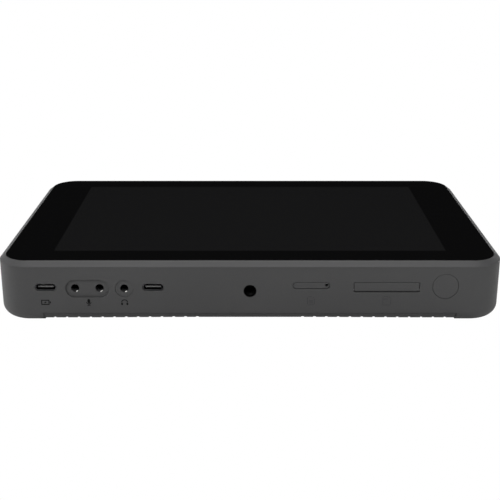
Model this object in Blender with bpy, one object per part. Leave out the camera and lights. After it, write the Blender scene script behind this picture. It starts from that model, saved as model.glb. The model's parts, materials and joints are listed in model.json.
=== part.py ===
"""Smart display: an eight inch touch screen lying face up in a thick housing.

Run with blender --background --python part.py, or from the text editor.

Every size below is in millimetres; add_part() turns it into metres. +Z is up, the ports face
-Y, and the origin is on the table under the middle of the housing. Heights that start with
BASE count from the underside of the housing, which its four feet hold off the table.
"""

import math

import bmesh
import bpy
from mathutils import Vector

MM = 0.001

# ---------------------------------------------------------------- driving dimensions

BODY_W = 218.7
BODY_D = 139.2
BODY_H = 27.35
CORNER_R = 14.0
CORNER_STEPS = 8
BOTTOM_R = 5.2
CHAMFER_IN = 2.6
CHAMFER_H = 1.95
WALL = 2.2
FOOT_STAND = 0.8
GAP = 0.1

BASE = FOOT_STAND
TOP = BASE + BODY_H
FRONT = -BODY_D / 2
BACK = BODY_D / 2
BEZEL_EDGE_Z = TOP - CHAMFER_H
RIM_Z = BEZEL_EDGE_Z - 0.2

# Screen stack: (underside, top) of each layer
GLASS_IN = CHAMFER_IN + 0.25
GLASS_Z = (TOP - 1.1, TOP)
ADHESIVE_Z = (GLASS_Z[0] - 0.35, GLASS_Z[0] - GAP)
LEDGE_TOP = ADHESIVE_Z[0] - GAP
LEDGE_IN = 7.0
PANEL_W, PANEL_D = 184.0, 116.0
ACTIVE_W, ACTIVE_D = 172.2, 107.6
PANEL_Z = (TOP - 2.7, TOP - 1.2)
TRAY_Z = (BASE + 21.4, BASE + 24.5)
FRAME_Z = (BASE + 19.8, BASE + 20.8)

# Electronics
BOARD_Z = (BASE + 13.3, BASE + 14.5)
ON_BOARD = BOARD_Z[1] + GAP
FLOOR = BASE + 3.15

# Bottom cover: a saddle let into the underside and the lower front and back edges. Its surface
# lies inside the housing's by a little more in the middle: (distance from the middle, depth).
COVER_HALF = 89.3
COVER_SIDE_GAP = 0.12
COVER_ARCH = ((22.0, 0.69), (44.0, 0.61), (66.0, 0.49), (COVER_HALF, 0.46))
COVER_FLOOR = BASE + 3.0
COVER_TOP = BASE + 4.15
COVER_SEAM = 0.25
LIP_TOP = BASE + 6.4
LIP_Y = (WALL + 0.7, WALL + 2.0)
RIB_PITCH = 5.165
GROOVE_W = 1.25
GROOVE_TOP = BASE + 1.83
FIRST_GROOVE = 22.95
GROOVES_A_SIDE = 13

# Front ports: centres along X, heights above the underside of the housing
PORT_Z = BASE + 16.1
USB_X = {"power": -87.6, "data": -41.5}
USB_HOLE = (9.2, 3.46)
USB_SHELL = (8.94, 3.2)
USB_MOUTH = (8.34, 2.56)
USB_TONGUE = (6.7, 0.7)
USB_SET_BACK = 0.65
JACK_Z = BASE + 15.5
JACK_X = {"line_in": -75.05, "mic": -64.55, "headphone": -53.9}
JACK_BORE_R = 1.75
JACK_NOSE_R = 2.0
JACK_HOLE_R = 2.15
RECESS_DEEP = {"line_in": 0.9, "mic": 0.9, "headphone": 0.45}
PILL = (18.6, 8.1)
DISH_R = 3.95
TRIPOD_Z = BASE + 14.45
TRIPOD_BORE_R = 2.55
SIM_X = 26.25
SIM_Z = BASE + 16.95
SIM_FACE = (15.7, 2.75)
SIM_PIN_X = 6.6
SD_X = 58.6
SD_Z = BASE + 16.07
SD_DOOR = (28.0, 4.25)
SD_HOLE = (28.36, 4.6)
SD_DOOR_THICK = 1.8
SD_PIN_R = 0.4
BUTTON_X = 83.75
BUTTON_Z = BASE + 16.55
BUTTON_R = 5.55
BUTTON_HOLE_R = 5.65
BUTTON_TRAVEL = 0.5

# Inside
FAN_X, FAN_Y = 58.79, 31.0
FAN_HALF = 25.0
FAN_Z = (BASE + 3.4, BASE + 15.6)
EXHAUST_X = (36.0, 76.5)
SCREW_INSET = 8.75
COVER_SCREWS = [(x, side * (BACK - SCREW_INSET)) for side in (-1, 1) for x in (-18.0, 18.0)]
FRAME_SCREWS = [(x, y) for x in (-97.5, 97.5) for y in (-57.5, 57.5)]
BOARD_SCREWS = [(-86.0, -14.0), (86.0, -14.0), (12.5, -58.0)]
BOSS_R = 3.2
SCREW_HEAD_Z = BASE + COVER_ARCH[0][1] + 0.05
FOOT_X, FOOT_Y = 98.5, 50.0
FOOT_SIZE = (8.0, 20.0)

# name: (colour, roughness, metallic)
FINISHES = {
    "housing": ((0.055, 0.055, 0.056), 0.55, 0.0),
    "bezel": ((0.07, 0.07, 0.071), 0.5, 0.0),
    "glass": ((0.004, 0.004, 0.0045), 0.08, 0.0),
    "rubber": ((0.02, 0.02, 0.02), 0.8, 0.0),
    "steel": ((0.5, 0.5, 0.51), 0.35, 1.0),
    "dark_metal": ((0.12, 0.12, 0.125), 0.3, 1.0),
    "connector": ((0.05, 0.05, 0.05), 0.5, 0.0),
    "circuit": ((0.02, 0.09, 0.05), 0.45, 0.0),
    "copper": ((0.72, 0.4, 0.25), 0.3, 1.0),
    "aluminium": ((0.66, 0.67, 0.68), 0.4, 1.0),
    "battery": ((0.2, 0.21, 0.22), 0.35, 0.3),
    "display": ((0.012, 0.012, 0.014), 0.3, 0.0),
    "adhesive": ((0.03, 0.03, 0.03), 0.9, 0.0),
    "flex": ((0.55, 0.28, 0.08), 0.4, 0.0),
    "cable": ((0.03, 0.03, 0.03), 0.5, 0.0),
    "pad": ((0.45, 0.5, 0.62), 0.9, 0.0),
}

# ---------------------------------------------------------------- outlines, as (u, v) points


def rounded_rect(width, depth, radius, steps=CORNER_STEPS, centre=(0.0, 0.0)):
    """A rectangle with round corners, anticlockwise."""
    cu, cv = width / 2 - radius, depth / 2 - radius
    points = []
    for u, v, start in ((cu, cv, 0), (-cu, cv, 90), (-cu, -cv, 180), (cu, -cv, 270)):
        for k in range(steps + 1):
            angle = math.radians(start + 90 * k / steps)
            points.append(
                (centre[0] + u + radius * math.cos(angle), centre[1] + v + radius * math.sin(angle))
            )
    return points


def slot(width, height, centre=(0.0, 0.0), steps=4):
    """A slot with nearly full-round ends."""
    radius = min(width, height) / 2 - 0.01
    return rounded_rect(width, height, radius, steps, centre)


def circle(radius, sides, centre=(0.0, 0.0)):
    turn = math.tau / sides
    return [
        (centre[0] + radius * math.cos(k * turn), centre[1] + radius * math.sin(k * turn))
        for k in range(sides)
    ]


def rectangle(u, v):
    return [(u[0], v[0]), (u[1], v[0]), (u[1], v[1]), (u[0], v[1])]


def arc(centre, radius, start, end, steps):
    """Points on an arc from start to end, in degrees."""
    angles = [math.radians(start + (end - start) * k / steps) for k in range(steps + 1)]
    return [(centre[0] + radius * math.cos(a), centre[1] + radius * math.sin(a)) for a in angles]


def ribbon(path, width):
    """The outline of a flat strip that follows a path."""
    left, right = [], []
    for k, point in enumerate(path):
        before = Vector(path[max(k - 1, 0)])
        after = Vector(path[min(k + 1, len(path) - 1)])
        along = (after - before).normalized()
        side = Vector((-along.y, along.x)) * (width / 2)
        left.append(tuple(Vector(point) + side))
        right.append(tuple(Vector(point) - side))
    return left + right[::-1]


# ---------------------------------------------------------------- solids, as bmesh in millimetres

PLANES = {"xy": (0, 1, 2), "xz": (0, 2, 1), "yz": (1, 2, 0)}


def loft(loops, closed=False):
    """Skins loops of equal length in turn, and caps the ends unless the skin closes on itself."""
    bm = bmesh.new()
    rings = [[bm.verts.new(point) for point in loop] for loop in loops]
    pairs = list(zip(rings, rings[1:]))
    if closed:
        pairs.append((rings[-1], rings[0]))
    for low, high in pairs:
        for k in range(len(low)):
            n = (k + 1) % len(low)
            bm.faces.new((low[k], low[n], high[n], high[k]))
    if not closed:
        bm.faces.new(rings[0][::-1])
        bm.faces.new(rings[-1])
    bmesh.ops.recalc_face_normals(bm, faces=bm.faces)
    return bm


def raise_outline(outline, plane, height):
    """A flat outline in one of the three planes, at a height along the third axis."""
    u_axis, v_axis, n_axis = PLANES[plane]
    loop = []
    for u, v in outline:
        point = [0.0, 0.0, 0.0]
        point[u_axis], point[v_axis], point[n_axis] = u, v, height
        loop.append(point)
    return loop


def prism(outline, plane, span):
    return loft([raise_outline(outline, plane, height) for height in span])


def box(x, y, z):
    return prism(rectangle(x, y), "xy", z)


def tube(outer, inner, plane, span):
    """A prism with a hole through it, from two outlines with the same number of points."""
    rings = [(outer, span[0]), (outer, span[1]), (inner, span[1]), (inner, span[0])]
    return loft([raise_outline(o, plane, height) for o, height in rings], closed=True)


def cup(outer, inner, plane, mouth, floor, back):
    """A tube that is open at mouth and closed between floor and back."""
    rings = [(inner, floor), (inner, mouth), (outer, mouth), (outer, back)]
    return loft([raise_outline(o, plane, height) for o, height in rings])


def body_loop(inset, z):
    """The outline of the housing, moved in by inset, at height z."""
    outline = rounded_rect(BODY_W - 2 * inset, BODY_D - 2 * inset, CORNER_R - inset)
    return raise_outline(outline, "xy", z)


def softened_box(x, y, z, radius, edge):
    """A box with round upright corners and its top and bottom edges broken."""
    centre = ((x[0] + x[1]) / 2, (y[0] + y[1]) / 2)
    size = (x[1] - x[0], y[1] - y[0])
    loops = []
    for inset, height in ((edge, z[0]), (0, z[0] + edge), (0, z[1] - edge), (edge, z[1])):
        outline = rounded_rect(
            size[0] - 2 * inset, size[1] - 2 * inset, radius - inset, 3, centre
        )
        loops.append(raise_outline(outline, "xy", height))
    return loft(loops)


def gathered(solids):
    """Several separate solids as one bmesh."""
    bm = bmesh.new()
    for solid in solids:
        mesh = bpy.data.meshes.new("part_of_group")
        solid.to_mesh(mesh)
        solid.free()
        bm.from_mesh(mesh)
        bpy.data.meshes.remove(mesh)
    return bm


# ---------------------------------------------------------------- objects


def finish_material(name):
    """The Principled material of that finish, made once."""
    found = bpy.data.materials.get(name)
    if found:
        return found
    colour, roughness, metallic = FINISHES[name]
    made = bpy.data.materials.new(name)
    made.use_nodes = True
    shader = made.node_tree.nodes["Principled BSDF"]
    shader.inputs["Base Color"].default_value = (*colour, 1.0)
    shader.inputs["Roughness"].default_value = roughness
    shader.inputs["Metallic"].default_value = metallic
    return made


def to_object(name, bm, origin):
    """Links a mesh drawn in millimetres as an object in metres, with its origin at a point."""
    bmesh.ops.translate(bm, verts=bm.verts, vec=-Vector(origin))
    bmesh.ops.scale(bm, verts=bm.verts, vec=(MM, MM, MM))
    mesh = bpy.data.meshes.new(name)
    bm.to_mesh(mesh)
    bm.free()
    obj = bpy.data.objects.new(name, mesh)
    obj.location = Vector(origin) * MM
    bpy.context.scene.collection.objects.link(obj)
    return obj


def add_part(name, bm, finish, parent, origin=(0.0, 0.0, 0.0)):
    """A named part. The parent empty stands at the origin of the frame."""
    obj = to_object(name, bm, origin)
    obj.data.materials.append(finish_material(finish))
    obj.data.shade_smooth()
    obj.data.set_sharp_from_angle(angle=math.radians(32))
    obj.parent = parent
    return obj


def shape_with(part, bm, operation):
    """Adds a Boolean that joins or cuts part with another solid."""
    count = len(part.modifiers) + 1
    tool = to_object(f"{part.name}_tool_{count}", bm, (0.0, 0.0, 0.0))
    tool.hide_render = True
    tool.display_type = "WIRE"
    modifier = part.modifiers.new(f"{operation.lower()}_{count}", "BOOLEAN")
    modifier.operation = operation
    modifier.object = tool


def cut(part, *solids):
    shape_with(part, gathered(solids), "DIFFERENCE")


def join(part, *solids):
    shape_with(part, gathered(solids), "UNION")


def add_cable(name, route, radius, parent, finish="cable"):
    """A thin cable along a smooth curve through the route's points."""
    samples = 5
    points = []
    for k in range(len(route) - 1):
        p0, p1 = Vector(route[max(k - 1, 0)]), Vector(route[k])
        p2, p3 = Vector(route[k + 1]), Vector(route[min(k + 2, len(route) - 1)])
        for s in range(samples):
            t = s / samples
            points.append(
                0.5 * (2 * p1 + (p2 - p0) * t + (2 * p0 - 5 * p1 + 4 * p2 - p3) * t**2
                       + (3 * p1 - p0 - 3 * p2 + p3) * t**3)
            )
    points.append(Vector(route[-1]))
    curve = bpy.data.curves.new(name, "CURVE")
    curve.dimensions = "3D"
    curve.bevel_depth = radius * MM
    curve.bevel_resolution = 1
    curve.use_fill_caps = True
    spline = curve.splines.new("POLY")
    spline.points.add(len(points) - 1)
    for target, point in zip(spline.points, points):
        target.co = (*(point * MM), 1.0)
    curve.materials.append(finish_material(finish))
    obj = bpy.data.objects.new(name, curve)
    obj.parent = parent
    bpy.context.scene.collection.objects.link(obj)
    return obj


# ---------------------------------------------------------------- casing


def bottom_arc(radius, steps):
    """(inset, height) pairs up a round lower edge, all about the same centre line."""
    pairs = []
    for k in range(steps + 1):
        angle = math.radians(90 * k / steps)
        pairs.append((BOTTOM_R - radius * math.sin(angle), BASE + BOTTOM_R - radius * math.cos(angle)))
    return pairs


def front_cut(outline, deep):
    """A cutter through the front wall, as deep as given from the front face."""
    return prism(outline, "xz", (FRONT - 1.0, FRONT + deep))


def make_main_housing(parent):
    """The tub: walls, port openings and screw bosses, open under the bottom cover."""
    outer = bottom_arc(BOTTOM_R, 4) + [(0.0, RIM_Z)]
    inner = [(WALL, RIM_Z)] + bottom_arc(BOTTOM_R - WALL, 2)[::-1]
    housing = add_part(
        "main_housing", loft([body_loop(*pair) for pair in outer + inner]), "housing", parent
    )

    through = WALL + 1.0
    saddle_z = COVER_TOP + COVER_SEAM
    saddle_half = COVER_HALF + COVER_SIDE_GAP
    cut(housing, box((-saddle_half, saddle_half), (FRONT - 1.0, BACK + 1.0), (BASE - 1.0, saddle_z)))

    boss_z = (LIP_TOP + 0.3, BASE + 12.3)
    bosses = []
    for x, y in COVER_SCREWS:
        wall_y = math.copysign(BACK - WALL / 2, y)
        start = 180 if y > 0 else 0
        nose = arc((x, y), BOSS_R, start, start + 180, 8)
        nose += [(nose[-1][0], wall_y), (nose[0][0], wall_y)]
        bosses.append(prism(nose, "xy", boss_z))
    for spot in FRAME_SCREWS:
        bosses.append(prism(circle(3.4, 16, spot), "xy", (BASE + WALL / 2, FRAME_Z[0] - GAP)))
    tripod = circle(5.0, 24, (0.0, TRIPOD_Z))
    bosses.append(prism(tripod, "xz", (FRONT + WALL / 2, FRONT + 9.5)))
    join(housing, *bosses)

    holes = [prism(circle(1.5, 10, spot), "xy", (BASE + 5.0, BASE + 11.5)) for spot in COVER_SCREWS]
    holes += [
        prism(circle(1.5, 10, spot), "xy", (BASE + 10.0, FRAME_Z[0] + 1.0)) for spot in FRAME_SCREWS
    ]
    holes += [front_cut(slot(*USB_HOLE, (x, PORT_Z), 5), through) for x in USB_X.values()]
    holes += [front_cut(circle(JACK_HOLE_R, 16, (x, JACK_Z)), through) for x in JACK_X.values()]
    holes.append(front_cut(circle(TRIPOD_BORE_R, 20, (0.0, TRIPOD_Z)), WALL / 2 + 1.0))
    holes.append(prism(circle(4.15, 20, (0.0, TRIPOD_Z)), "xz", (FRONT + WALL, FRONT + 10.5)))
    sim_hole = (SIM_FACE[0] + 0.3, SIM_FACE[1] + 0.3)
    holes.append(front_cut(slot(*sim_hole, (SIM_X, SIM_Z), 5), through))
    holes.append(front_cut(rounded_rect(*SD_HOLE, 0.5, 2, (SD_X, SD_Z)), through))
    holes.append(front_cut(circle(BUTTON_HOLE_R, 28, (BUTTON_X, BUTTON_Z)), through))
    cut(housing, *holes)

    pill_x = (JACK_X["line_in"] + JACK_X["mic"]) / 2
    recesses = [
        front_cut(slot(*PILL, (pill_x, JACK_Z), 7), RECESS_DEEP["mic"]),
        front_cut(circle(DISH_R, 24, (JACK_X["headphone"], JACK_Z)), RECESS_DEEP["headphone"]),
    ]
    recesses += [
        prism(slot(FOOT_SIZE[0] + 0.4, FOOT_SIZE[1] + 0.4, (sx * FOOT_X, sy * FOOT_Y), 4), "xy",
              (BASE - 1.0, BASE + 1.0))
        for sx in (-1, 1) for sy in (-1, 1)
    ]
    hinge_half = SD_HOLE[0] / 2 + 1.3
    hinge_span = (SD_X - hinge_half, SD_X + hinge_half)
    recesses.append(prism(circle(SD_PIN_R + 0.1, 8, sd_axis()), "yz", hinge_span))
    cut(housing, *recesses)

    slots = []
    count = 12
    pitch = (EXHAUST_X[1] - EXHAUST_X[0]) / (count - 1)
    for k in range(count):
        centre = (EXHAUST_X[0] + k * pitch, BASE + 10.2)
        slots.append(prism(slot(1.8, 9.5, centre, 2), "xz", (BACK - through, BACK + 1.0)))
    for side in (-1, 1):
        for k in range(7):
            centre = (side * FOOT_X, (k - 3) * 3.2)
            slots.append(prism(slot(9.0, 1.3, centre, 2), "xy", (BASE - 1.0, BASE + 3.0)))
    cut(housing, *slots)


def cover_sink(x):
    """How far the cover's surface lies inside the housing's, at a distance from the middle."""
    distance = abs(x)
    for (near, at_near), (far, at_far) in zip(COVER_ARCH, COVER_ARCH[1:]):
        if distance <= far:
            share = max(distance - near, 0.0) / (far - near)
            return at_near + share * (at_far - at_near)
    return COVER_ARCH[-1][1]


def cover_section(sink):
    """The cover's section across the Y-Z plane: a shallow trough with round lower corners."""
    radius = BOTTOM_R - sink
    height = BASE + BOTTOM_R
    lift = math.degrees(math.asin((height - COVER_TOP) / radius))
    outside = arc((FRONT + BOTTOM_R, height), radius, 180 + lift, 270, 4)
    outside += arc((BACK - BOTTOM_R, height), radius, 270, 360 - lift, 4)
    lip_back = [(BACK - LIP_Y[0], COVER_TOP), (BACK - LIP_Y[0], LIP_TOP),
                (BACK - LIP_Y[1], LIP_TOP), (BACK - LIP_Y[1], COVER_FLOOR)]
    lip_front = [(FRONT + LIP_Y[1], COVER_FLOOR), (FRONT + LIP_Y[1], LIP_TOP),
                 (FRONT + LIP_Y[0], LIP_TOP), (FRONT + LIP_Y[0], COVER_TOP)]
    return outside + lip_back + lip_front


def groove_centres():
    right = [FIRST_GROOVE + k * RIB_PITCH for k in range(GROOVES_A_SIDE)]
    return [-x for x in reversed(right)] + right


def make_bottom_cover(parent):
    """The ribbed saddle under the electronics, with fan inlet slots and screw seats."""
    right = [x for x, _ in COVER_ARCH]
    stations = [-x for x in reversed(right)] + right
    sections = [raise_outline(cover_section(cover_sink(x)), "yz", x) for x in stations]
    cover = add_part("bottom_cover", loft(sections), "housing", parent)
    below, above = BASE - 1.0, COVER_FLOOR + 0.5
    half = GROOVE_W / 2
    cut(cover, *[
        box((x - half, x + half), (FRONT - 1.0, BACK + 1.0), (below, GROOVE_TOP))
        for x in groove_centres()
    ])
    openings = []
    for x in groove_centres():
        reach = 16.0**2 - (x - FAN_X) ** 2
        if reach > 6.0**2:
            length = 2 * math.sqrt(reach)
            outline = rounded_rect(0.9, length, 0.4, 2, (x, FAN_Y))
            openings.append(prism(outline, "xy", (below, above)))
    openings += [prism(circle(1.6, 10, spot), "xy", (below, above)) for spot in COVER_SCREWS]
    cut(cover, *openings)
    cut(cover, *[
        prism(circle(2.6, 16, spot), "xy", (below, SCREW_HEAD_Z + 1.05)) for spot in COVER_SCREWS
    ])


def make_top_bezel(parent):
    """The chamfered rim round the glass, with a ledge under it and a skirt inside the wall."""
    skirt_z = BASE + 23.3
    under_z = RIM_Z + GAP
    section = [
        (0.0, under_z), (0.0, BEZEL_EDGE_Z), (CHAMFER_IN, TOP), (CHAMFER_IN + 0.15, TOP),
        (CHAMFER_IN + 0.15, LEDGE_TOP), (LEDGE_IN, LEDGE_TOP), (LEDGE_IN, LEDGE_TOP - 1.4),
        (WALL + 1.6, LEDGE_TOP - 1.4), (WALL + 1.6, skirt_z), (WALL + 0.2, skirt_z),
        (WALL + 0.2, under_z),
    ]
    add_part("top_bezel", loft([body_loop(*pair) for pair in section], closed=True), "bezel", parent)


def make_screen(parent):
    """Cover glass, its tape, the panel and the backlight tray."""
    edge = 0.25
    glass = [(GLASS_IN, GLASS_Z[0]), (GLASS_IN, GLASS_Z[1] - edge), (GLASS_IN + edge, GLASS_Z[1])]
    add_part("cover_glass", loft([body_loop(*pair) for pair in glass]), "glass", parent)

    tape = [(GLASS_IN + 0.3, ADHESIVE_Z[0]), (GLASS_IN + 0.3, ADHESIVE_Z[1]),
            (LEDGE_IN - 0.2, ADHESIVE_Z[1]), (LEDGE_IN - 0.2, ADHESIVE_Z[0])]
    add_part("glass_adhesive", loft([body_loop(*pair) for pair in tape], closed=True),
             "adhesive", parent)

    panel = rounded_rect(PANEL_W, PANEL_D, 1.0, 2)
    add_part("display_panel", prism(panel, "xy", PANEL_Z), "display", parent)

    tray = rounded_rect(PANEL_W + 2.0, PANEL_D + 2.0, 1.5, 2)
    well = rounded_rect(PANEL_W - 4.0, PANEL_D - 4.0, 1.0, 2)
    add_part("backlight_tray", cup(tray, well, "xy", TRAY_Z[1], TRAY_Z[0] + 0.8, TRAY_Z[0]),
             "aluminium", parent)


def make_feet(parent):
    for side, sx in (("left", -1), ("right", 1)):
        for end, sy in (("front", -1), ("back", 1)):
            centre = (sx * FOOT_X, sy * FOOT_Y)
            loops = []
            for inset, z in ((0.5, 0.0), (0.0, 0.5), (0.0, BASE + 0.7)):
                outline = slot(FOOT_SIZE[0] - 2 * inset, FOOT_SIZE[1] - 2 * inset, centre)
                loops.append(raise_outline(outline, "xy", z))
            add_part(f"foot_{end}_{side}", loft(loops), "rubber", parent, (*centre, 0.0))


# ---------------------------------------------------------------- ports and controls


def make_usb_ports(parent):
    """Two receptacles: a pressed shell closed at the back, and the tongue inside it."""
    for use, x in USB_X.items():
        centre = (x, PORT_Z)
        mouth = FRONT + USB_SET_BACK
        shell = cup(slot(*USB_SHELL, centre, 5), slot(*USB_MOUTH, centre, 5), "xz",
                    mouth, mouth + 6.9, mouth + 7.5)
        add_part(f"usb_c_{use}_shell", shell, "steel", parent)
        half_w, half_h = USB_TONGUE[0] / 2, USB_TONGUE[1] / 2
        tongue = box((x - half_w, x + half_w), (mouth + 0.5, mouth + 6.7),
                     (PORT_Z - half_h, PORT_Z + half_h))
        add_part(f"usb_c_{use}_tongue", tongue, "connector", parent)


def make_jacks(parent):
    """Three 3.5 mm sockets, each a moulded block with a metal-lined nose in the wall."""
    for use, x in JACK_X.items():
        block = box((x - 3.0, x + 3.0), (FRONT + WALL + 0.3, FRONT + 14.5), (JACK_Z - 2.5, JACK_Z + 2.5))
        jack = add_part(f"{use}_jack", block, "dark_metal", parent)
        nose_span = (FRONT + RECESS_DEEP[use] + 0.05, FRONT + WALL + 1.0)
        join(jack, prism(circle(JACK_NOSE_R, 16, (x, JACK_Z)), "xz", nose_span))
        bore = circle(JACK_BORE_R, 16, (x, JACK_Z))
        cut(jack, prism(bore, "xz", (FRONT - 1.0, FRONT + 13.5)))


def make_tripod_insert(parent):
    """A quarter-inch insert in a boss behind the front wall, closed at the back."""
    centre = (0.0, TRIPOD_Z)
    mouth = FRONT + WALL + 0.1
    insert = cup(circle(4.0, 20, centre), circle(TRIPOD_BORE_R, 20, centre), "xz",
                 mouth, mouth + 6.6, mouth + 7.8)
    add_part("tripod_insert", insert, "dark_metal", parent)


def make_sim(parent, tray_parent):
    """A tray with a card window, and the folded metal socket that it slides into."""
    half = SIM_FACE[0] / 2
    face = prism(slot(*SIM_FACE, (SIM_X, SIM_Z), 5), "xz", (FRONT + 0.05, FRONT + 1.7))
    tray = add_part("sim_tray", face, "housing", tray_parent, (SIM_X, FRONT, SIM_Z))
    slab = box((SIM_X - 5.6, SIM_X + 5.6), (FRONT + 1.2, FRONT + 20.0), (SIM_Z - 0.5, SIM_Z + 0.5))
    join(tray, slab)
    pin = prism(circle(0.7, 12, (SIM_X + SIM_PIN_X, SIM_Z + 0.1)), "xz", (FRONT - 1.0, FRONT + 3.0))
    window = box((SIM_X - 4.4, SIM_X + 4.4), (FRONT + 5.0, FRONT + 17.3), (SIM_Z - 1.0, SIM_Z + 1.0))
    cut(tray, pin, window)

    shell = rectangle((SIM_X - half + 0.3, SIM_X + half - 0.3), (ON_BOARD, SIM_Z + 1.5))
    hole = rectangle((SIM_X - 6.0, SIM_X + 6.0), (SIM_Z - 0.8, SIM_Z + 0.8))
    socket = cup(shell, hole, "xz", FRONT + WALL + 0.5, FRONT + 21.0, FRONT + 22.0)
    add_part("sim_socket", socket, "steel", parent)


def sd_axis():
    """The memory card door's hinge line, as (y, z)."""
    return (FRONT + SD_DOOR_THICK / 2 + 0.05, SD_Z - SD_DOOR[1] / 2 + SD_DOOR_THICK / 2)


def make_sd(parent, door_parent):
    """A flap over the memory card slot, hinged on a steel pin along its lower edge."""
    y, z = sd_axis()
    half_t = SD_DOOR_THICK / 2
    half_w = SD_DOOR[0] / 2
    top = SD_Z + SD_DOOR[1] / 2
    edge = 0.3
    section = arc((y, z), half_t, 180, 360, 8)
    section += [(y + half_t, top - 1.0), (y, top), (y - half_t + edge, top), (y - half_t, top - edge)]
    door = add_part("sd_door", prism(section, "yz", (SD_X - half_w, SD_X + half_w)), "housing",
                    door_parent, (SD_X, y, z))
    cut(door, prism(circle(SD_PIN_R + 0.1, 10, (y, z)), "yz", (SD_X - 20.0, SD_X + 20.0)))

    pin_half = SD_HOLE[0] / 2 + 1.1
    pin = prism(circle(SD_PIN_R, 8, (y, z)), "yz", (SD_X - pin_half, SD_X + pin_half))
    add_part("sd_door_pin", pin, "steel", parent)

    shell = rectangle((SD_X - 13.4, SD_X + 13.4), (ON_BOARD, SD_Z + 1.7))
    hole = rectangle((SD_X - 12.2, SD_X + 12.2), (SD_Z - 1.15, SD_Z + 1.2))
    socket = cup(shell, hole, "xz", FRONT + WALL + 0.8, FRONT + 29.0, FRONT + 30.0)
    add_part("sd_socket", socket, "steel", parent)


def make_power_button(parent, button_parent):
    """A flush round cap with a retaining flange, and the switch that it presses."""
    centre = (BUTTON_X, BUTTON_Z)
    behind = FRONT + WALL + 0.3
    rings = [
        (BUTTON_R - 0.2, FRONT + 0.05), (BUTTON_R, FRONT + 0.25), (BUTTON_R, behind),
        (BUTTON_R + 0.7, behind), (BUTTON_R + 0.7, behind + 0.7), (1.5, behind + 0.7),
        (1.5, behind + 1.2),
    ]
    cap = loft([raise_outline(circle(radius, 28, centre), "xz", y) for radius, y in rings])
    origin = (BUTTON_X, FRONT, BUTTON_Z)
    add_part("power_button", cap, "housing", button_parent, origin)

    tip = behind + 1.3
    plunger = prism(circle(1.0, 10, centre), "xz", (tip, tip + 1.6))
    add_part("switch_plunger", plunger, "connector", button_parent, origin)

    front = tip + 0.7
    body = tube(rounded_rect(6.0, 6.0, 0.5, 3, centre), circle(1.3, 16, centre), "xz",
                (front, front + 1.7))
    add_part("power_switch", body, "steel", parent)
    board = box((BUTTON_X - 8.5, BUTTON_X + 8.5), (front + 1.8, front + 2.8),
                (BASE + 9.8, FRAME_Z[0] - 0.4))
    add_part("button_board", board, "circuit", parent)


# ---------------------------------------------------------------- electronics


def make_frame_and_board(parent):
    """The sheet frame under the screen with its posts, the main board and what it carries."""
    sheet = rounded_rect(BODY_W - 12.0, BODY_D - 12.0, 8.0, 3)
    frame = add_part("mid_frame", prism(sheet, "xy", FRAME_Z), "aluminium", parent)
    span = (FRAME_Z[0] - 1.0, FRAME_Z[1] + 1.0)
    join(frame, *[
        prism(circle(2.6, 6, spot), "xy", (ON_BOARD, FRAME_Z[0] + 0.4)) for spot in BOARD_SCREWS
    ])
    cut(frame, box((-38.0, -10.0), (-61.0, -56.8), span),
        *[prism(circle(1.5, 10, spot), "xy", span) for spot in FRAME_SCREWS],
        *[prism(circle(1.5, 6, spot), "xy", (ON_BOARD - 1.0, FRAME_Z[0] - 1.2))
          for spot in BOARD_SCREWS])

    jack_edge, tripod_edge, button_edge = FRONT + 15.3, FRONT + 12.0, FRONT + 12.3
    edge = FRONT + WALL + 0.8
    outline = [
        (-92.0, edge), (-78.6, edge), (-78.6, jack_edge), (-50.0, jack_edge), (-50.0, edge),
        (-5.8, edge), (-5.8, tripod_edge), (5.8, tripod_edge), (5.8, edge), (74.0, edge),
        (74.0, button_edge), (92.0, button_edge), (92.0, -6.0), (-92.0, -6.0),
    ]
    board = add_part("main_board", prism(outline, "xy", BOARD_Z), "circuit", parent)
    cut(board, *[
        prism(circle(1.5, 10, spot), "xy", (BOARD_Z[0] - 1.0, BOARD_Z[1] + 1.0))
        for spot in BOARD_SCREWS
    ])

    add_part("processor", box((30.0, 62.0), (-38.0, -8.0), (ON_BOARD, ON_BOARD + 1.5)),
             "connector", parent)
    can = cup(rounded_rect(30.0, 30.0, 1.0, 2, (-31.0, -33.0)),
              rounded_rect(29.4, 29.4, 0.7, 2, (-31.0, -33.0)), "xy",
              ON_BOARD, ON_BOARD + 1.9, ON_BOARD + 2.2)
    add_part("modem_shield", can, "steel", parent)


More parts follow.
